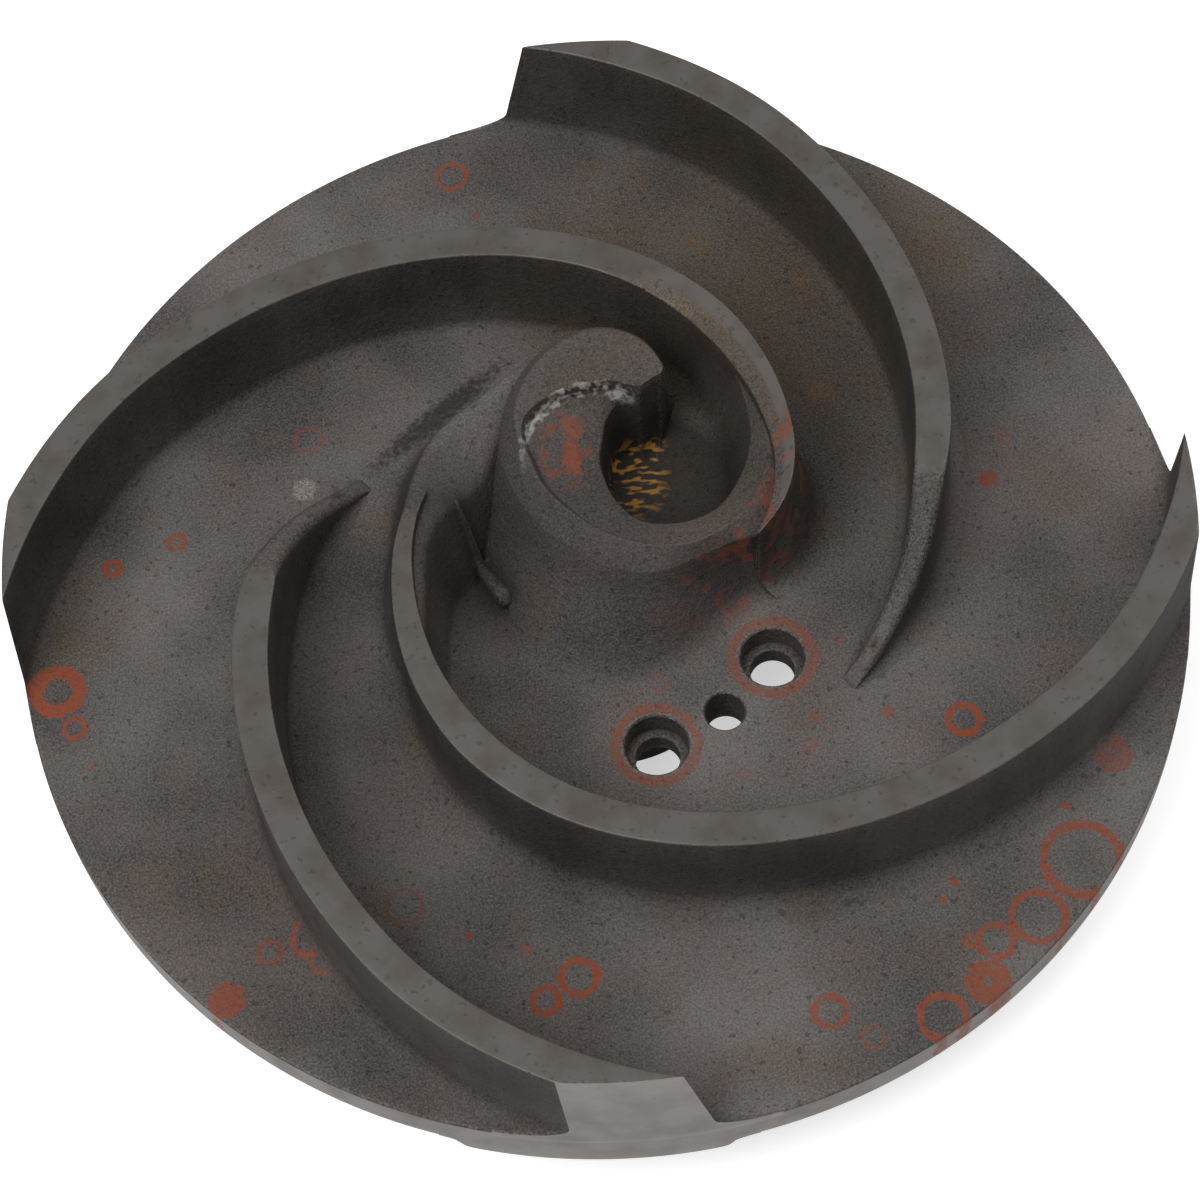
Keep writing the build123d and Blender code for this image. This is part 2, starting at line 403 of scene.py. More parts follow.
def grown(name, tree, values):
    """A plain mesh that the vane tree makes from named values."""
    values = {**VANE_COUNTS, **VANE_SIZES, **values}
    piece = new_object(name, bpy.data.meshes.new(name))
    modifier = piece.modifiers.new("grown", "NODES")
    modifier.node_group = tree
    for item in tree.interface.items_tree:
        if item.name in values:
            modifier[item.identifier] = values[item.name]
    return face_outwards(settle(piece))


def combine(piece, tool, operation):
    """Joins a tool to a piece, or cuts with it, and uses the tool up."""
    modifier = piece.modifiers.new(operation.lower(), "BOOLEAN")
    modifier.operation = operation
    modifier.solver = "MANIFOLD"
    modifier.object = tool
    settle(piece)
    bpy.data.objects.remove(tool)
    return piece


def sewn_mesh(name, rings, closed_round):
    """A closed solid from rings of points: each ring is a loop, or a line from pole to pole."""
    mesh = bpy.data.meshes.new(name)
    across = len(rings[0])
    points = [point for ring in rings for point in ring]
    faces = []
    count = len(rings)
    for i in range(count if closed_round else count - 1):
        a = i * across
        b = ((i + 1) % count) * across
        for j in range(across - 1 if closed_round else across):
            k = (j + 1) % across
            faces.append((a + j, b + j, b + k, a + k))
    if not closed_round:
        faces.append(tuple(range(across)))
        faces.append(tuple((count - 1) * across + j for j in reversed(range(across))))
    mesh.from_pydata(points, [], faces)
    piece = new_object(name, mesh)
    work = bmesh.new()
    work.from_mesh(mesh)
    bmesh.ops.remove_doubles(work, verts=work.verts, dist=0.001 * MM)
    bmesh.ops.recalc_face_normals(work, faces=work.faces)
    work.to_mesh(mesh)
    work.free()
    return piece


def turned(name, profile, segments, centre=(0.0, 0.0)):
    """A solid of revolution from (radius, height) points that start and end on the axis."""
    rings = []
    for i in range(segments):
        angle = 2 * math.pi * i / segments
        c, s = math.cos(angle), math.sin(angle)
        rings.append([(centre[0] + r * c, centre[1] + r * s, z) for r, z in profile])
    return sewn_mesh(name, rings, True)


def straight(start, end, steps):
    """Equal steps along a line, without its start."""
    return [tuple(a + (b - a) * k / steps for a, b in zip(start, end))
            for k in range(1, steps + 1)]


def arc(centre, radius, start, end, steps):
    """Equal steps round an arc between two angles in degrees, without its start."""
    angles = [math.radians(start + (end - start) * k / steps) for k in range(1, steps + 1)]
    return [(centre[0] + radius * math.cos(angle), centre[1] + radius * math.sin(angle))
            for angle in angles]


def rounded(corners, arc_steps, edge_steps):
    """A line through (across, level, radius) corners, with a round arc at each inner corner."""
    points = []
    for i, (x, z, radius) in enumerate(corners):
        here = Vector((x, z))
        if i in (0, len(corners) - 1):
            points.append([here])
            continue
        back = Vector(corners[i - 1][:2]) - here
        on = Vector(corners[i + 1][:2]) - here
        half_turn = max(back.angle(on, math.pi) / 2, 0.05)
        reach = min(radius / math.tan(half_turn), back.length * 0.48, on.length * 0.48)
        start = here + back.normalized() * reach
        end = here + on.normalized() * reach
        bow = []
        for k in range(arc_steps + 1):
            t = k / arc_steps
            bow.append(start.lerp(here, t).lerp(here.lerp(end, t), t))
        points.append(bow)
    line = list(points[0])
    for last, group in zip(points, points[1:]):
        a, b = last[-1], group[0]
        line += [a.lerp(b, k / edge_steps) for k in range(1, edge_steps)]
        line += group
    return line


def along_keys(keys, at):
    """The values of (place, value, ...) keys at a place, on a smooth curve through the keys."""
    if at <= keys[0][0]:
        return keys[0][1:]
    if at >= keys[-1][0]:
        return keys[-1][1:]
    i = next(n for n in range(len(keys) - 1) if keys[n + 1][0] >= at)
    k0, k1 = keys[max(i - 1, 0)], keys[i]
    k2, k3 = keys[i + 1], keys[min(i + 2, len(keys) - 1)]
    gap = k2[0] - k1[0]
    t = (at - k1[0]) / gap
    values = []
    for a, b, c, d in zip(k0[1:], k1[1:], k2[1:], k3[1:]):
        slope_1 = (c - a) / (k2[0] - k0[0]) * gap
        slope_2 = (d - b) / (k3[0] - k1[0]) * gap
        values.append((2 * t ** 3 - 3 * t ** 2 + 1) * b + (t ** 3 - 2 * t ** 2 + t) * slope_1
                      + (3 * t ** 2 - 2 * t ** 3) * c + (t ** 3 - t ** 2) * slope_2)
    return tuple(values)


# ---- the nose -----------------------------------------------------------------------------------
# The nose is a lip that winds round the well. Its keys are places round the nose's centre: the
# angle in degrees, the distance from the centre and the height above the plate, in millimetres.
# The feet lie on the plate and have no height.
NOSE_CENTRE = (15.0, 28.0)
FLANK_FOOT = ((68, 29), (84, 39), (101, 46), (117, 49), (135, 56), (157, 66), (172, 62), (193, 57),
              (212, 58), (230, 61), (250, 63.5), (269, 58), (288, 49), (305, 47), (315, 50.5),
              (325, 52.5), (335, 53), (350, 52), (370, 48), (395, 46), (420, 50), (440, 58))
FLANK_TOP = ((68, 27, 33), (84, 36.2, 33.5), (101, 41.8, 34), (117, 43.8, 33), (135, 44.5, 30.5),
             (157, 44, 27), (172, 41.6, 26), (193, 39.3, 26), (212, 38, 26), (230, 37.8, 26),
             (250, 39, 26), (269, 40.8, 26), (288, 40, 26.5), (305, 41.5, 27), (315, 45.5, 27),
             (325, 47, 28), (335, 46.5, 30), (350, 45.5, 31.5), (370, 43.5, 33),
             (395, 43, 33.5), (420, 47.5, 33.5), (440, 57, 33))
CREST = ((68, 25.6, 35), (84, 34.5, 35), (101, 40, 35.3), (117, 41.5, 35), (135, 41, 34.2),
         (157, 38.8, 33.2), (172, 35.8, 32.5), (182, 33.4, 32), (203, 31.8, 31.5),
         (223, 30.5, 31), (250, 32, 31), (269, 34.2, 31), (288, 36.8, 31), (305, 38, 31),
         (320, 38.8, 31), (333, 39.2, 31.5), (350, 39, 32), (370, 38.6, 33), (395, 40, 33.8),
         (420, 45, 34), (440, 55, 33.5))
STEP = ((68, 23.5, 35), (84, 18.3, 35), (105, 21.5, 35), (127, 25.9, 34.5), (141, 30.2, 34),
        (150, 33.3, 33.5), (160, 35.6, 33), (172, 34.8, 32.3), (182, 32.6, 31.8),
        (203, 31.0, 31.3), (223, 29.8, 30.8), (250, 31.5, 30.8), (269, 33.6, 30.7),
        (288, 36.2, 30.7), (305, 37.3, 30.7), (320, 38, 30.7), (333, 38.3, 31.1),
        (350, 38.2, 31.6), (370, 37.8, 32.5), (395, 39.2, 33.3), (420, 44.4, 33.6),
        (440, 54.6, 33))
SHELF = ((68, 23.2, 34.2), (84, 17.9, 34), (105, 20.6, 31.5), (127, 24.6, 30.5), (141, 28.8, 30),
         (150, 31.6, 29.6), (160, 33.8, 29.3), (172, 33.2, 29.2), (182, 31, 29), (203, 29.5, 29),
         (223, 28.9, 29.8), (250, 31, 30.4), (269, 33, 30.3), (288, 35.6, 30.3),
         (305, 36.8, 30.3), (320, 37.4, 30.3), (333, 37.8, 30.7), (350, 37.6, 31.2),
         (370, 37.2, 32), (395, 38.7, 32.8), (420, 44, 33.2), (440, 54.2, 32.6))
LIP = ((68, 22.6, 33), (84, 17.2, 32), (101, 18.4, 28), (121, 16.3, 25.5), (145, 12.8, 24.5),
       (179, 12, 24.5), (212, 13, 24.5), (243, 17.5, 25.3), (265, 22.9, 26), (285, 25.8, 26),
       (303, 28.5, 26), (317, 30, 26), (332, 30.6, 26), (349, 32, 26.5), (361, 33.3, 27.5),
       (379, 35, 29), (395, 37.5, 31), (420, 43.3, 32.5), (440, 53.7, 32))
WELL_FOOT = ((68, 21), (84, 15.5), (101, 16), (121, 14), (145, 11), (179, 10.5), (212, 11.3),
             (243, 15), (265, 19.5), (285, 21.5), (303, 23.5), (317, 24.5), (332, 25), (349, 25),
             (361, 25.5), (379, 27), (395, 30), (420, 40), (440, 52.5))
NOSE_START, NOSE_END, NOSE_TURN_STEP = 68, 438, 2.5
WELL_ROOT, FLANK_ROOT = 7.0, 8.0

# How far a skin runs on under the plate beyond its foot, and how far down.
HEM, RIDGE_HEM = 4.0, 8.0
HEM_DEPTHS = (-SKIRT / MM, -BURIED / MM)

# The ridge that carries the first long vane's end over to the nose: the x and y of its crest and
# the crest's height, how far out its outer foot lies, then across and height of the shoulder on
# its inner side, and how far in its inner foot lies.
RIDGE = ((0, -55.5, -38, 30, 3.5, 2.5, 22, 6), (1, -57.0, -27, 33, 5, 4.5, 29, 9),
         (2, -57.8, -14, 33.3, 8, 6, 28, 11), (3, -57.2, 0, 33.6, 9, 6.5, 30, 14),
         (4, -54.3, 12, 33, 10, 8, 30.5, 20), (5, -50, 26, 31.6, 12, 15, 26, 27),
         (6, -45.5, 35.5, 30.5, 14, 16, 25, 30), (7, -38, 43.5, 30, 16, 14, 26.5, 26),
         (8, -29, 50, 30, 16, 11, 27, 20), (9, -19.5, 57, 30.5, 15, 9, 28, 18),
         (10, -9, 62, 31.5, 13, 7, 29.5, 15), (11, 1, 61.5, 31.5, 11, 6, 30, 13))
RIDGE_STEPS = 56

# The bead in the hollow between the ridge and the nose: its x and y, and half its thickness. It is
# raised by a share of that above the iron under it, and squashed sideways.
FIN = ((0, -40.8, 17, 0.5), (1, -38.6, 12.5, 1.2), (2, -35.6, 6.5, 1.9), (3, -32.4, 0.5, 2.7),
       (4, -29.8, -4, 3.2), (5, -28.6, -7, 1.8))
FIN_STEPS, FIN_SIDES, FIN_RAISED, FIN_ASPECT = 30, 12, 0.25, (0.9, 0.4)


def nose_piece(plate):
    """The lip round the well, with its flank, its rough break and the inner wall of the well."""
    rings = []
    count = round((NOSE_END - NOSE_START) / NOSE_TURN_STEP)
    for i in range(count + 1):
        at = NOSE_START + (NOSE_END - NOSE_START) * i / count
        (well,), (foot,) = along_keys(WELL_FOOT, at), along_keys(FLANK_FOOT, at)
        inner, outer = well - WELL_ROOT - HEM, foot + FLANK_ROOT + HEM
        corners = [(inner, depth, 0) for depth in HEM_DEPTHS]
        corners.append((well, 0, WELL_ROOT))
        for keys, bow in ((LIP, 1.6), (SHELF, 0.6), (STEP, 0.5), (CREST, 1.0), (FLANK_TOP, 1.5)):
            corners.append((*along_keys(keys, at), bow))
        corners.append((foot, 0, FLANK_ROOT))
        corners += [(outer, depth, 0) for depth in reversed(HEM_DEPTHS)]
        angle = math.radians(at)
        c, s = math.cos(angle), math.sin(angle)
        rings.append([((NOSE_CENTRE[0] + d * c) * MM, (NOSE_CENTRE[1] + d * s) * MM,
                       plate + z * MM) for d, z in rounded(corners, 4, 4)])
    return sewn_mesh("nose", rings, False)


def fin_piece(grounds):
    """The bead that lies down the side of the hollow, half sunk in the iron there."""
    rings = []
    for i in range(FIN_STEPS + 1):
        x, y, thick = along_keys(FIN, FIN[-1][0] * i / FIN_STEPS)
        above = Vector((x * MM, y * MM, FRONT))
        hits = [ground.ray_cast(above, Vector((0, 0, -1)))[:2] for ground in grounds]
        level = max(spot.z for found, spot in hits if found) / MM + thick * FIN_RAISED
        ring = []
        for k in range(FIN_SIDES):
            bow = 2 * math.pi * k / FIN_SIDES
            wide = thick * math.cos(bow)
            ring.append(((x + FIN_ASPECT[0] * wide) * MM, (y + FIN_ASPECT[1] * wide) * MM,
                         (level + thick * math.sin(bow)) * MM))
        rings.append(ring)
    return sewn_mesh("fin", rings, False)


def ridge_piece(plate):
    """The broad ridge from the first long vane's end to the nose."""
    rings = []
    last = RIDGE[-1][0]
    for i in range(RIDGE_STEPS + 1):
        at = last * i / RIDGE_STEPS
        x, y, top, outer, shoulder, level, inner = along_keys(RIDGE, at)
        ahead, behind = along_keys(RIDGE, min(at + 0.1, last)), along_keys(RIDGE, max(at - 0.1, 0))
        way = Vector((ahead[0] - behind[0], ahead[1] - behind[1])).normalized()
        side = Vector((-way.y, way.x))
        corners = [(-inner - RIDGE_HEM, depth, 0) for depth in HEM_DEPTHS]
        corners += [(-inner, 0, 8), (-shoulder, level, 7), (-1.5, top, 6), (2, top, 5),
                    (outer, 0, 8)]
        corners += [(outer + RIDGE_HEM, depth, 0) for depth in reversed(HEM_DEPTHS)]
        rings.append([((x + side.x * w) * MM, (y + side.y * w) * MM, plate + z * MM)
                      for w, z in rounded(corners, 6, 4)])
    return sewn_mesh("ridge", rings, False)


# ---- finish -------------------------------------------------------------------------------------
# The finish is painted in layers. Its places are in millimetres, x and y from the axis and z from
# the rear hub's end, and a tone is red, green and blue from 0 to 255 as seen on a screen.

# Rust that drops of water left on the plate: the x, y and radius of each ring and the width of its
# line, and how strong it is.
RUST_RINGS = (
    (-35, 155, 4.8, 1.8, 0.8), (-28, 139, 0.5, 1.6, 0.5), (-128, 29, 2.4, 2.0, 0.8),
    (-148, 22, 2.4, 2.2, 1.0), (-165, -18, 6.6, 4.4, 1.0), (-160, -31, 3.2, 2.0, 0.8),
    (-86, 61, 4.2, 1.0, 0.5), (-155, -44, 0.4, 1.4, 0.5), (-118, -122, 2.4, 6.2, 0.8),
    (-105, -109, 3.4, 2.1, 0.5), (-93, -106, 5.4, 2.0, 0.8), (-89, -113, 4.6, 1.8, 0.5),
    (-66, -99, 5.2, 1.0, 0.5), (-48, -110, 0.5, 1.6, 0.8), (-32, -116, 1.2, 1.8, 0.5),
    (-28, -132, 3.8, 2.1, 1.0), (-18, -126, 5.2, 2.2, 1.0), (101, -58, 4.6, 2.3, 1.0),
    (79, -53, 1.0, 2.6, 0.5), (58, -52, 1.4, 1.3, 0.5), (55, -61, 1.7, 1.2, 0.5),
    (35, -68, 1.4, 1.0, 0.5), (14, -36, 2.1, 1.0, 0.5), (-10, -4, 2.0, 1.2, 0.5),
    (69, -28, 0.6, 1.4, 0.5), (128, -106, 11.0, 2.9, 0.8), (113, -122, 7.6, 2.3, 0.8),
    (100, -128, 5.0, 2.2, 0.8), (93, -127, 1.6, 1.4, 0.8), (96, -140, 4.0, 5.2, 0.8),
    (82, -149, 6.4, 2.6, 0.8), (51, -144, 4.6, 1.8, 0.8), (62, -153, 3.2, 1.3, 0.5),
    (91, -109, 0.6, 1.7, 0.8), (87, -114, 0.5, 1.4, 0.8), (126, -89, 0.7, 1.7, 0.8),
    (120, 22, 1.2, 3.6, 0.8), (127, 36, 2.1, 1.0, 0.5), (-70, -128, 1.6, 3.9, 0.5),
    (-60, -138, 1.4, 4.2, 0.5), (142, -74, 3.5, 4.7, 0.5),
)
RINGS_A_FACE = 2
HALO_GAP, HALO_WIDTH, HALO_STRENGTH = 2.6, 3.2, 0.55

# the bend at which an edge starts to be worn or a corner to take painted shade, and how fast that
# grows
WORN_FROM, WORN_GAIN = 0.2, 1.6
CORNER_SHADE_FROM, CORNER_SHADE_GAIN = 0.08, 2.5
RIM_BAND = 2.5 * MM

# Single marks: the centre, the half length and half width, and the turn of the length in degrees.
WARM_STAIN = ((55, 92), (85, 109.7), 0.0)
# painted shade in the hollow between the ridge and the nose
DARK_HOLLOW = ((-37, 8), (25.8, 36.4), 20.6)
# a painted shadow along the crease
CREASE = ((-45, 65), (30, 4.47), 37.7)
# a painted highlight
GLINT = ((-88, 43), (3, 3), 0.0)
RUSTY_BREAK = ((-7, 31), (9, 15.2), 0.0)
RUST_RUN = ((-60, -144), (18.2, 2.65), -50.7)
GOLD_STREAKS = ((13, 40), (7.07, 12.9), 0.0)
FIN_PLACE = ((-35, 6), -60.6)
# the step worn bright, with a painted highlight along it: its centre and radius
RUBBED_LIT_STEP = ((2, 27), 21.6)


def linear(tone):
    """The linear colour of a tone."""
    return tuple((part / 255) ** 2.2 for part in tone) + (1.0,)


def seen_from(x, y, centre, degrees=0.0):
    """How far a place is from a centre along a turned line, and how far across it."""
    east, north = x - centre[0], y - centre[1]
    if not degrees:
        return east, north
    c, s = math.cos(math.radians(degrees)), math.sin(math.radians(degrees))
    return east * c + north * s, north * c - east * s


def squared_reach(x, y, mark):
    """The square of how far out a place is in an oval mark, 1 on the oval's edge."""
    centre, reaches, degrees = mark
    along, across = seen_from(x, y, centre, degrees)
    return along * along / reaches[0] ** 2 + across * across / reaches[1] ** 2


class Coat:
    """Layers of colour laid one over another in a node tree."""

    def __init__(self, tree, tone):
        self.tree = tree
        self.colour = linear(tone)

    def lay(self, share, over):
        """Lays a tone or another coat over this one by a share from 0 to 1."""
        top = over.colour if isinstance(over, Coat) else linear(over)
        self.colour = wired(self.tree, "ShaderNodeMix",
                            {"Factor": share, "A": self.colour, "B": top},
                            output="Result", data_type="RGBA")


class Surface:
    """The places, patterns and kinds of surface that the layers of the finish are made from."""

    def __init__(self, tree, plate, face):
        self.tree = tree
        self.plate = plate
        place = wired(tree, "ShaderNodeTexCoord", output="Object")
        self.place = self.scaled(place, (1 / MM,) * 3)
        self.x, self.y, self.z = self.axes(self.place)

        # grain, and two coarser patterns that also bend the edges of marks
        self.grain = self.noise(1.5, 1.0)
        self.coarse = self.noise(0.45, 1.0)
        self.broken = self.noise(0.6, 1.0)
        self.bent_x = self.x + (self.coarse - 0.5) * 3.0
        self.bent_y = self.y + (self.broken - 0.5) * 3.0
        self.speckled = self.grain.span(0.3, 0.7)
        self.pits = self.coarse.span(0.66, 0.72)

        # standing walls, worn edges, hollow corners, the machined front and the turned rim
        self.wall = self.attribute("wall").span(0.15, 0.8)
        self.wear = self.attribute("edge")
        self.corner = self.attribute("corner")
        self.turned_rim = self.attribute("turned")
        dish = (self.distance() - DISC_RADIUS / MM) * math.tan(face.face_slope)
        front = dish + plate + face.height / MM
        self.machined = self.z.span(front - 0.75, front - 0.35)
        self.from_nose = self.distance(NOSE_CENTRE)

    def axes(self, vector):
        node = self.tree.nodes.new("ShaderNodeSeparateXYZ")
        vector.feed(node.inputs[0])
        return [Field(self.tree, output) for output in node.outputs]

    def scaled(self, place, factors):
        return wired(self.tree, "ShaderNodeVectorMath", {0: place, 1: factors},
                     operation="MULTIPLY")

    def noise(self, scale, detail, factors=None):
        """A cloudy number from 0 to 1, with scale cells in a millimetre, drawn out by factors."""
        place = self.scaled(self.place, factors) if factors else self.place
        return wired(self.tree, "ShaderNodeTexNoise",
                     {"Vector": place, "Scale": scale, "Detail": detail})

    def attribute(self, name, output="Fac"):
        return wired(self.tree, "ShaderNodeAttribute", output=output, attribute_name=name)

    def distance(self, centre=(0, 0)):
        east, north = seen_from(self.x, self.y, centre)
        return (east * east + north * north).math("SQRT")

    def above(self, low, high):
        """0 up to a height above the plate, and 1 from another height on."""
        return self.z.span(self.plate + low, self.plate + high)


def cast_coat(on):
    """As-cast iron: clouds, warm stains, grain and pits."""
    coat = Coat(on.tree, (58, 57, 57))
    coat.lay(on.noise(0.02, 2.0).span(0.36, 0.66), (104, 100, 98))
    coat.lay(on.noise(0.03, 1.0).span(0.45, 0.65) * 0.35, (94, 80, 74))
    stained = squared_reach(on.x, on.y, WARM_STAIN).math("SQRT").span(1, 0.235)
    coat.lay(stained * 0.45, (82, 72, 54))
    warm = on.noise(0.035, 3.0).span(0.58 - 0.3 * stained, 0.82 - 0.1 * stained)
    coat.lay(warm * 0.9, (86, 70, 48))
    coat.lay(on.noise(0.09, 3.0).span(0.58, 0.72) * (0.15 + 0.6 * stained), (104, 78, 42))
    coat.lay(on.speckled * 0.4, (118, 112, 107))
    coat.lay((1 - on.speckled) * 0.42, (36, 33, 31))
    coat.lay(on.pits * 0.45, (34, 29, 26))
    return coat


def lay_painted_shade(on, coat):
    """Painted shade on walls, in corners, in hollows, round the fin, in the well and on the nose's
    top, and a painted shadow along the crease.
    """
    # painted shade on standing walls, weaker near the plate, in streaks drawn out up and down
    draught = on.noise(0.12, 2.0, (1, 1, 0.25))
    dark = (0.55 + 0.3 * draught) * (0.62 + 0.38 * on.above(2, 22))
    coat.lay(on.wall * dark, (26, 24, 22))
    # painted shade in hollow corners
    coat.lay(on.corner * 0.5, (30, 25, 22))
    # painted shade in the hollow between the ridge and the nose, and round the fin
    hollow = squared_reach(on.x, on.y, DARK_HOLLOW).math("SQRT").span(1, 0.364)
    coat.lay(hollow * 0.6, (30, 28, 26))
    along, across = seen_from(on.x, on.y, *FIN_PLACE)
    by_fin = across.math("ABSOLUTE").span(5, 2.5) * along.math("ABSOLUTE").span(17, 13)
    coat.lay(by_fin * 0.65, (34, 35, 33))
    # painted shade in the well, and a lighter painted shade on the nose's top
    coat.lay(on.from_nose.span(33, 27) * on.above(24, 16) * 0.75, (28, 25, 22))
    coat.lay(on.from_nose.span(47, 43) * on.above(14, 22) * 0.3, (40, 35, 33))
    # a painted shadow along the crease, where the plate rises to the ridge
    crease = (squared_reach(on.x, on.y, CREASE) + (on.broken - 0.5) * 2).span(1.1, 0.2)
    coat.lay(crease * on.above(6, 2) * 0.75, (26, 23, 20))


def lay_bare_metal_and_highlights(on, coat, glint):
    """A painted highlight at the glint, the machined front, the turned rim with a painted
    reflection, worn edges, and the step worn bright with a painted highlight.
    """
    # a painted highlight: a pale spot at the glint
    coat.lay(glint * on.speckled * 0.6, (150, 148, 144))
    stain = on.noise(0.09, 4.0).span(0.4, 0.66)
    front = Coat(on.tree, (86, 83, 80))
    front.lay(stain, (76, 71, 67))
    front.lay(on.pits * 0.5, (60, 54, 50))
    coat.lay(on.machined, front)
    # turned iron, painted lighter than the machined front, partly as a painted reflection of the
    # pale floor
    rim = Coat(on.tree, (130, 126, 123))
    rim.lay(stain * 0.7, (106, 101, 98))
    coat.lay(on.turned_rim, rim)
    coat.lay(on.wear * on.speckled * 0.45, (140, 134, 128))
    # the step worn bright, with a painted highlight along it
    centre, radius = RUBBED_LIT_STEP
    east, north = seen_from(on.bent_x, on.bent_y, centre)
    off = ((east * east + north * north).math("SQRT") - radius).math("ABSOLUTE")
    rubbed_and_lit = off.span(1.5, 0.3) * (on.y - on.x * 0.4).span(30, 42) * on.above(25, 28)
    coat.lay(rubbed_and_lit * on.coarse.span(0.4, 0.6) * 0.75, (160, 158, 154))


def ring_share(on, bent, rank):
    """How much rust the nearest rings of one rank leave, from what each face knows of them."""
    radius, half, strength = on.axes(on.attribute(f"ring_{rank}_line", "Vector"))
    away = wired(on.tree, "ShaderNodeVectorMath",
                 {0: bent, 1: on.attribute(f"ring_{rank}_centre", "Vector")},
                 output="Value", operation="DISTANCE")
    off = (away - radius).math("ABSOLUTE")
    return off.span(half + 0.15, half - 0.25) * strength


def lay_rust(on, coat):
    """Rust: rings that drops left, a run along a vane's foot and patches on the nose."""
    bent = wired(on.tree, "ShaderNodeCombineXYZ", {"X": on.bent_x, "Y": on.bent_y})
    rust = Field(on.tree, 0.0)
    for rank in range(RINGS_A_FACE):
        rust = rust.math("MAXIMUM", ring_share(on, bent, rank))
    on_plate = 1 - on.above(1.5, 4)
    rust = rust * on_plate * (0.6 + 0.4 * on.broken.span(0.35, 0.55))
    patchy = on.noise(0.16, 2.0)
    flank = on.from_nose.span(54, 44) * on.from_nose.span(37, 42)
    flank = flank * (on.x - on.y * 0.6).span(22, 52)
    rust = rust.math("MAXIMUM", flank * patchy.span(0.5, 0.6) * 0.65)
    at_break = squared_reach(on.x, on.y, RUSTY_BREAK).math("SQRT").span(1, 0.556)
    rust = rust.math("MAXIMUM", at_break * patchy.span(0.44, 0.56) * 0.7)
    run = squared_reach(on.bent_x, on.bent_y, RUST_RUN).span(1.3, 0.5) * on_plate
    rust = rust.math("MAXIMUM", run * on.coarse.span(0.35, 0.55) * 0.7)
    coat.lay(rust, (122, 60, 38))
    coat.lay(rust.span(0.5, 0.9) * on.speckled * 0.3, (136, 72, 46))
    streaks = on.noise(0.32, 1.0, (0.6, 1.6, 1)).span(0.52, 0.62)
    gold = squared_reach(on.x, on.y, GOLD_STREAKS).span(3, 1) * (1 - on.above(2, 9)) * streaks
    coat.lay(gold * 0.85, (168, 120, 50))


def iron_material(disc, vanes):
    """Old cast iron: dull and speckled, with machined faces, worn edges and spots of rust, and
    painted shade and painted highlights in its colour.
    """
    material = bpy.data.materials.new("cast iron")
    material.use_nodes = True
    tree = material.node_tree
    shader = tree.nodes["Principled BSDF"]
    on = Surface(tree, disc.plate / MM, vanes)
    # where the painted highlight of the glint lies, which also makes the iron smoother there
    glint = squared_reach(on.bent_x, on.bent_y, GLINT).span(2, 1)
    coat = cast_coat(on)
    lay_painted_shade(on, coat)
    lay_bare_metal_and_highlights(on, coat, glint)
    lay_rust(on, coat)

    # dull on the plate, smoother on machined and worn metal
    smooth = on.machined * 0.2 + on.turned_rim * 0.22 + on.wear * 0.25 + glint * 0.4
    relief = on.grain * 0.35 + on.coarse * 0.7 - on.pits * 0.5
    relief = relief * (1 - on.machined * 0.75) * (1 - on.turned_rim * 0.8)
    looks = {
        "Base Color": coat.colour,
        "Roughness": 0.72 - smooth + on.grain * 0.1,
        "Metallic": on.wear * 0.6 + on.machined * 0.12 + on.turned_rim * 0.1,
        "Normal": wired(tree, "ShaderNodeBump",
                        {"Strength": 0.55, "Distance": 1.0 * MM, "Height": relief}),
    }
    for name, field in looks.items():
        field.feed(shader.inputs[name])
    shader.inputs["Specular IOR Level"].default_value = 0.35
    return material


def note_rings(mesh, holes):
    """Writes on each face the rust rings nearest to it: their centres, radii and lines."""
    rings = list(RUST_RINGS)
    for side in (-1, 1):
        angle = holes.middle_angle + side * holes.spread
        away = holes.circle_radius / MM
        rings.append((away * math.cos(angle), away * math.sin(angle),
                      holes.counterbore_radius / MM + HALO_GAP, HALO_WIDTH, HALO_STRENGTH))
    rings = np.array(rings)
    centres = np.empty(len(mesh.polygons) * 3)
    mesh.polygons.foreach_get("center", centres)
    centres = centres.reshape(-1, 3)[:, None, :2] / MM
    off = np.abs(np.linalg.norm(centres - rings[None, :, :2], axis=2) - rings[:, 2])
    order = np.argsort(off - rings[:, 3] / 2, axis=1)
    for rank in range(RINGS_A_FACE):
        x, y, radius, width, strength = rings[order[:, rank]].T
        for name, parts in (("centre", (x, y, 0 * x)), ("line", (radius, width / 2, strength))):
            layer = mesh.attributes.new(f"ring_{rank}_{name}", "FLOAT_VECTOR", "FACE")
            layer.data.foreach_set("vector", np.stack(parts, axis=1).ravel())


def note_surfaces(mesh):
    """Writes how far each point is on a standing wall, on a sharp edge or in a hollow corner."""
    work = bmesh.new()
    work.from_mesh(mesh)
    notes = {"wall": [], "edge": [], "corner": []}
    for vert in work.verts:
        bends = [edge.calc_face_angle_signed(0.0) for edge in vert.link_edges]
        notes["wall"].append(1 - abs(vert.normal.z))
        notes["edge"].append(min(max(max(bends) - WORN_FROM, 0.0) * WORN_GAIN, 1.0))
        notes["corner"].append(min(max(-min(bends) - CORNER_SHADE_FROM, 0.0) * CORNER_SHADE_GAIN, 1.0))
    at_rim = []
    for face in work.faces:
        centre = face.calc_center_median()
        outward = Vector((centre.x, centre.y, 0))
        at_rim.append(float(outward.length > DISC_RADIUS - RIM_BAND
                            and face.normal.dot(outward.normalized()) > 0.98))
    work.free()
    for name, values in notes.items():
        layer = mesh.attributes.new(name, "FLOAT", "POINT")
        layer.data.foreach_set("value", values)
    mesh.attributes.new("turned", "FLOAT", "FACE").data.foreach_set("value", at_rim)


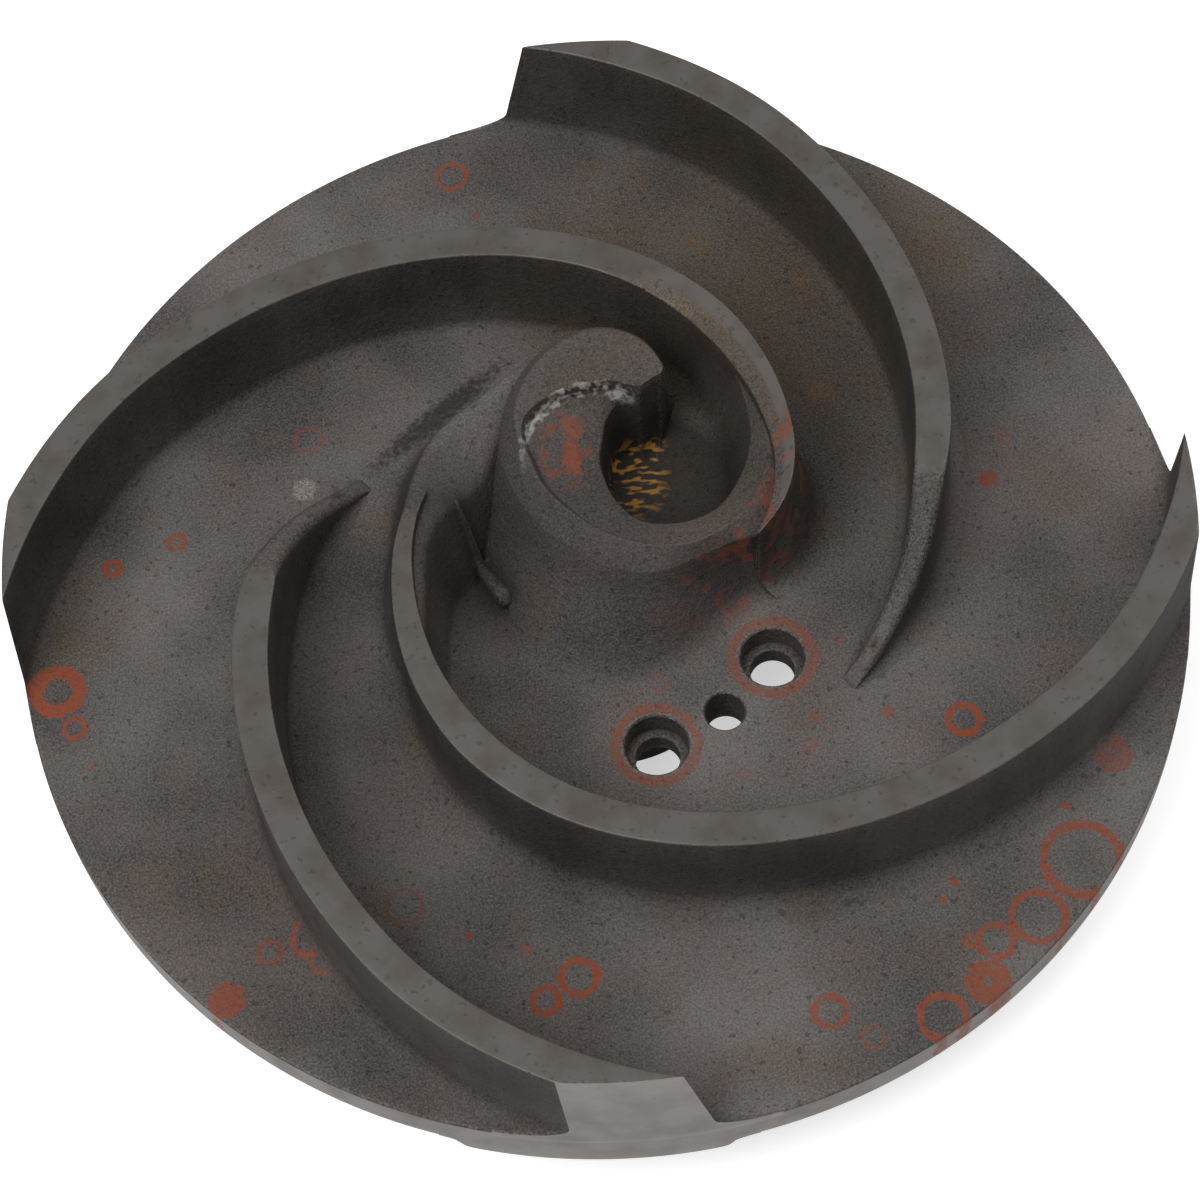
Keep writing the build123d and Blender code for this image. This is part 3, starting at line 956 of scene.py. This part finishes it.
# ---- operators ----------------------------------------------------------------------------------
class IMPELLER_OT_disc(bpy.types.Operator):
    """Turns the disc with its rear hub and cuts the shaft bore"""
    bl_idname = "impeller.disc"
    bl_label = "Disc"

    def execute(self, context):
        size = context.scene.impeller_disc
        radius = DISC_RADIUS - 0.02 * MM
        back_rim = size.plate - size.rim_thickness
        back_hub = size.plate - size.hub_thickness
        shoulder = radius - size.rim_round
        foot = size.hub_radius + size.hub_fillet
        fillet_edge = back_hub - size.hub_fillet
        profile = [(0, size.plate)]
        profile += straight((0, size.plate), (shoulder, size.plate), 42)
        profile += arc((shoulder, size.plate - size.rim_round), size.rim_round, 90, 0, 3)
        profile += straight((radius, size.plate), (radius, back_rim), 4)[:-1]
        profile += arc((shoulder, back_rim + size.rim_round), size.rim_round, 0, -90, 3)
        profile += straight((radius, back_rim), (foot, back_hub), 30)
        profile += arc((foot, fillet_edge), size.hub_fillet, 90, 180, 5)
        profile += straight((size.hub_radius, fillet_edge), (size.hub_radius, 0), 6)[:-1]
        chamfer = size.bore_chamfer
        profile += [(size.hub_radius, chamfer), (size.hub_radius - chamfer, 0),
                    (size.bore_radius + chamfer, 0), (size.bore_radius, chamfer),
                    (size.bore_radius, size.bore_depth), (0, size.bore_depth)]
        disc = turned("disc", profile, 300)
        half = size.key_width / 2
        reach = size.bore_radius + size.key_depth
        slot = [[(x, y, z) for x, y in ((-half, 0), (half, 0), (half, reach), (-half, reach))]
                for z in (-1 * MM, size.bore_depth * 0.5, size.bore_depth - 0.5 * MM)]
        combine(disc, sewn_mesh("keyway", slot, False), "DIFFERENCE")
        return {"FINISHED"}


class IMPELLER_OT_vanes(bpy.types.Operator):
    """Grows the front vanes with Geometry Nodes and trims their tips to the rim"""
    bl_idname = "impeller.vanes"
    bl_label = "Vanes"

    def execute(self, context):
        size = context.scene.impeller_vanes
        disc = context.scene.impeller_disc
        tree = vane_tree()
        to_ridge = {
            "Plate": disc.plate, "Disc radius": DISC_RADIUS, "Height": size.height,
            "Face slope": size.face_slope, "Thickness": size.thickness, "Draft": size.draft,
            "Concave root": size.concave_root, "Convex root": size.convex_root,
            "Edge round": size.edge_round, "Stations": 190, "Taper start": LONG_TAPER_START,
            "End thickness": size.long_end, "Sweep": size.long_sweep,
            "End fall": size.ridge_fall, "First angle": size.tip_angle,
        }
        to_nose = {
            **to_ridge, "First angle": size.tip_angle + math.pi, "Sweep": size.nose_sweep,
            "Lean start": LEAN_START, "Lean": size.crest_lean, "Curl": size.nose_curl,
            "Point": 0.85, "End fall": size.nose_fall,
        }
        short = {
            **to_ridge, "First angle": size.tip_angle + math.pi / 2, "Copies": 2,
            "Sweep": size.short_sweep, "Taper start": SHORT_TAPER_START,
            "End thickness": size.short_end, "Rake start": size.short_face,
            "Rake end": size.short_sweep, "Stations": 130, "End fall": 0.0,
        }
        below = disc.plate - 5 * MM
        setback, above = size.tip_setback * 1.5, disc.plate + size.height * 1.5
        trim = [(0, below), (DISC_RADIUS, below), (DISC_RADIUS, disc.plate),
                (DISC_RADIUS - setback, above), (0, above)]
        for name, values in (("vane_to_ridge", to_ridge), ("vane_to_nose", to_nose),
                             ("short_vanes", short)):
            combine(grown(name, tree, values), turned("trim", trim, 720), "INTERSECT")
        return {"FINISHED"}


class IMPELLER_OT_back_vanes(bpy.types.Operator):
    """Grows the low vanes on the disc's back along the same spiral"""
    bl_idname = "impeller.back_vanes"
    bl_label = "Back Vanes"

    def execute(self, context):
        size = context.scene.impeller_back_vanes
        disc = context.scene.impeller_disc
        back = disc.plate - disc.rim_thickness
        piece = grown("back_vanes", vane_tree(), {
            "Plate": back, "Disc radius": DISC_RADIUS, "Height": size.height,
            "Thickness": size.thickness, "End thickness": size.thickness, "Draft": size.draft,
            "Concave root": size.root, "Convex root": size.root, "Edge round": size.edge_round,
            "Copies": 4, "Sweep": size.sweep, "Side": -1.0, "First angle": size.lead,
        })
        below, above = back - 2 * size.height, disc.plate - MM
        radius = DISC_RADIUS - 0.05 * MM
        trim = [(0, below), (radius, below), (radius, above), (0, above)]
        combine(piece, turned("trim", trim, 720), "INTERSECT")
        return {"FINISHED"}


class IMPELLER_OT_nose(bpy.types.Operator):
    """Builds the nose round the well and the ridge that joins it"""
    bl_idname = "impeller.nose"
    bl_label = "Nose"

    def execute(self, context):
        plate = context.scene.impeller_disc.plate
        grounds = (nose_piece(plate), ridge_piece(plate))
        context.view_layer.update()
        fin_piece(grounds)
        return {"FINISHED"}


class IMPELLER_OT_casting(bpy.types.Operator):
    """Joins all parts of the casting, drills its holes and gives it its finish"""
    bl_idname = "impeller.casting"
    bl_label = "Casting"

    def execute(self, context):
        scene = context.scene
        casting = bpy.data.objects["disc"]
        for name in ("vane_to_ridge", "vane_to_nose", "short_vanes", "back_vanes", "nose", "ridge",
                     "fin"):
            combine(casting, bpy.data.objects[name], "UNION")
        self.drill(casting, scene.impeller_holes, scene.impeller_disc.plate)
        casting.name = "casting_body"
        mesh = casting.data
        mesh.name = "casting_body"
        mesh.shade_smooth()
        mesh.set_sharp_from_angle(angle=math.radians(38))
        mesh.materials.clear()
        mesh.materials.append(iron_material(scene.impeller_disc, scene.impeller_vanes))
        note_surfaces(mesh)
        note_rings(mesh, scene.impeller_holes)
        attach(casting, BODY)
        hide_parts(NODE)
        return {"FINISHED"}

    def drill(self, casting, size, plate):
        """Two counterbored screw holes with the relief hole between them, their mouths worn."""
        start, worn = 5 * MM, 0.5 * MM
        shoulder = plate - size.counterbore_depth
        for side in (-1, 0, 1):
            angle = size.middle_angle + side * size.spread
            centre = (size.circle_radius * math.cos(angle), size.circle_radius * math.sin(angle))
            bore = size.screw_radius if side else size.relief_radius
            mouth = size.counterbore_radius if side else bore
            profile = [(0, start), (bore, start)]
            if side:
                profile += [(bore, shoulder), (mouth, shoulder)]
            profile += [(mouth, plate - worn), (mouth + worn * 2, plate + worn), (0, plate + worn)]
            combine(casting, turned("drill", profile, 64, centre), "DIFFERENCE")


class IMPELLER_OT_stage(bpy.types.Operator):
    """Sets the floor, the lamps, the world and the camera"""
    bl_idname = "impeller.stage"
    bl_label = "Stage"

    def execute(self, context):
        stage = context.scene.impeller_stage
        self.floor(stage)
        self.lamp("key", (-0.7, -0.5, 1.4), 0.9, stage.lamp_power)
        self.lamp("fill", (0.9, 0.4, 1.2), 1.2, stage.lamp_power * 0.4)
        world = bpy.data.worlds.new("studio")
        world.use_nodes = True
        background = world.node_tree.nodes["Background"]
        background.inputs["Color"].default_value = (1, 1, 1, 1)
        background.inputs["Strength"].default_value = 0.5
        context.scene.world = world
        context.scene.camera = self.camera(stage, context.scene.impeller_disc.plate)
        context.scene.view_settings.view_transform = "Standard"
        return {"FINISHED"}

    def floor(self, stage):
        """A pale floor, which the camera sees as white where no shadow falls."""
        half = stage.floor_size / 2
        mesh = bpy.data.meshes.new("floor")
        mesh.from_pydata([(-half, -half, 0), (half, -half, 0), (half, half, 0), (-half, half, 0)],
                         [], [(0, 1, 2, 3)])
        material = bpy.data.materials.new("floor")
        material.use_nodes = True
        tree = material.node_tree
        shader = tree.nodes["Principled BSDF"]
        shader.inputs["Base Color"].default_value = (*stage.floor_colour, 1)
        shader.inputs["Roughness"].default_value = 0.9
        shader.inputs["Emission Color"].default_value = (1, 1, 1, 1)
        seen = wired(tree, "ShaderNodeLightPath", output="Is Camera Ray")
        (seen * stage.floor_glow).feed(shader.inputs["Emission Strength"])
        material.cycles.emission_sampling = "NONE"
        mesh.materials.append(material)
        new_object("floor", mesh)

    def camera(self, stage, plate):
        """A camera that looks down at the plate at a slant, rolled a little about its line."""
        level = Vector((1, 0, 0))
        back = Vector((0, -math.cos(stage.elevation), math.sin(stage.elevation)))
        facing = Matrix((level, back.cross(level), back))
        turned_back = (Matrix.Rotation(-stage.roll, 3, "Z") @ facing).transposed()
        aim = Vector((*stage.aim, 0)) * DISC_RADIUS
        eye = turned_back @ (Vector((0, 0, stage.distance)) - aim) + Vector((0, 0, plate))
        camera = bpy.data.cameras.new("camera")
        camera.angle = stage.view_angle
        camera.clip_start, camera.clip_end = 0.01, 50
        shot = bpy.data.objects.new("camera", camera)
        bpy.context.scene.collection.objects.link(shot)
        shot.matrix_world = Matrix.Translation(eye) @ turned_back.to_4x4()
        return shot

    def lamp(self, name, place, size, power):
        light = bpy.data.lights.new(name, "AREA")
        light.size = size
        light.energy = power
        lamp = bpy.data.objects.new(name, light)
        lamp.location = place
        lamp.rotation_euler = (-Vector(place)).to_track_quat("-Z", "Y").to_euler()
        bpy.context.scene.collection.objects.link(lamp)


class IMPELLER_PT_panel(bpy.types.Panel):
    """Lists the sizes and the operators"""
    bl_label = "Pump Impeller"
    bl_idname = "IMPELLER_PT_panel"
    bl_space_type = "VIEW_3D"
    bl_region_type = "UI"
    bl_category = "Impeller"

    def draw(self, context):
        for name, kind in GROUPS:
            box = self.layout.box()
            group = getattr(context.scene, name)
            for field in kind.__annotations__:
                box.prop(group, field)
        for operator in OPERATORS:
            self.layout.operator(operator.bl_idname)


GROUPS = (("impeller_disc", DiscSizes), ("impeller_vanes", VaneSizes),
          ("impeller_back_vanes", BackVaneSizes), ("impeller_holes", HoleSizes),
          ("impeller_stage", StageSettings))
OPERATORS = (IMPELLER_OT_disc, IMPELLER_OT_vanes, IMPELLER_OT_back_vanes, IMPELLER_OT_nose,
             IMPELLER_OT_casting, IMPELLER_OT_stage)


def register():
    for name, kind in GROUPS:
        bpy.utils.register_class(kind)
        setattr(bpy.types.Scene, name, PointerProperty(type=kind))
    for kind in (*OPERATORS, IMPELLER_PT_panel):
        bpy.utils.register_class(kind)


def unregister():
    for kind in (IMPELLER_PT_panel, *reversed(OPERATORS)):
        bpy.utils.unregister_class(kind)
    for name, kind in reversed(GROUPS):
        delattr(bpy.types.Scene, name)
        bpy.utils.unregister_class(kind)


def main():
    register()
    bpy.ops.impeller.disc()
    bpy.ops.impeller.vanes()
    bpy.ops.impeller.back_vanes()
    bpy.ops.impeller.nose()
    bpy.ops.impeller.casting()
    bpy.ops.impeller.stage()


if __name__ == "__main__":
    main()
